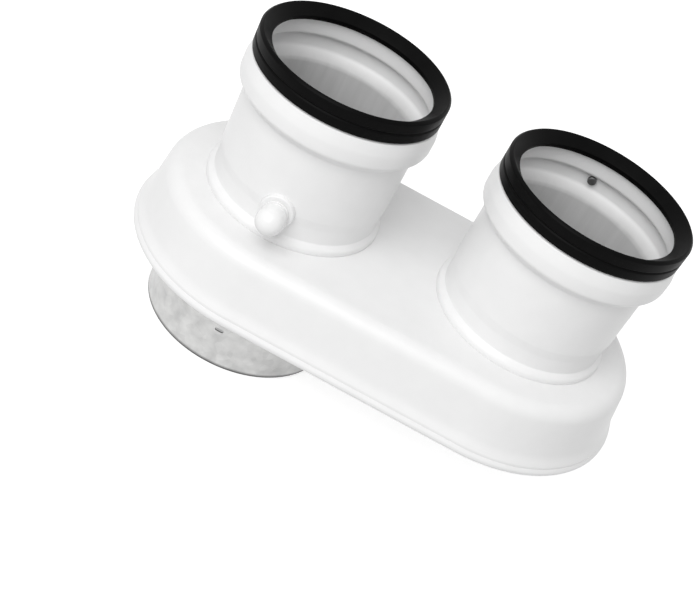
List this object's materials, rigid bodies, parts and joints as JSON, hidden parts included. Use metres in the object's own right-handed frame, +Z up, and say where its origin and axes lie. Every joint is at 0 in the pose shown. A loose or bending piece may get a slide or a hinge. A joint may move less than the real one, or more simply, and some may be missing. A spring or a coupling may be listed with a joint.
{
  "type": "boiler flue splitter",
  "caption": "Twin-pipe flue splitter: flat white stadium casing with rubber-sealed flue and air sockets on top, a coaxial boiler collar below and a plugged flue test point.",
  "frame": {"origin": "centre of the coaxial collar at its lower edge, on the flue axis", "axes": "+Z up along the sockets, +X from the flue socket to the air socket, -Y to the front with the test point"},
  "size_m": [0.265, 0.1446, 0.1593],
  "materials": {
    "white_paint": "glossy white powder coat",
    "black_rubber": "satin black",
    "galvanised": "bare galvanised, mottled",
    "bare_aluminium": "bare, dull",
    "white_plastic": "glossy white",
    "dark_steel": "dark, dull"
  },
  "bodies": {
    "splitter": {"casing": "white_paint", "base_plate": "white_paint", "flue_socket": "white_paint", "air_socket": "white_paint", "test_boss": "white_paint", "flue_seal": "black_rubber", "air_seal": "black_rubber", "coaxial_collar": "galvanised", "inner_flue_duct": "bare_aluminium", "stop_rivet": "dark_steel"},
    "plug": {"test_plug": "white_plastic", "plug_ring": "black_rubber"}
  },
  "joints": [
    {"name": "plug_pull", "type": "slide", "parent": "splitter", "child": "plug", "axis": [0, -1, 0], "range_m": [0, 0.03]}
  ]
}
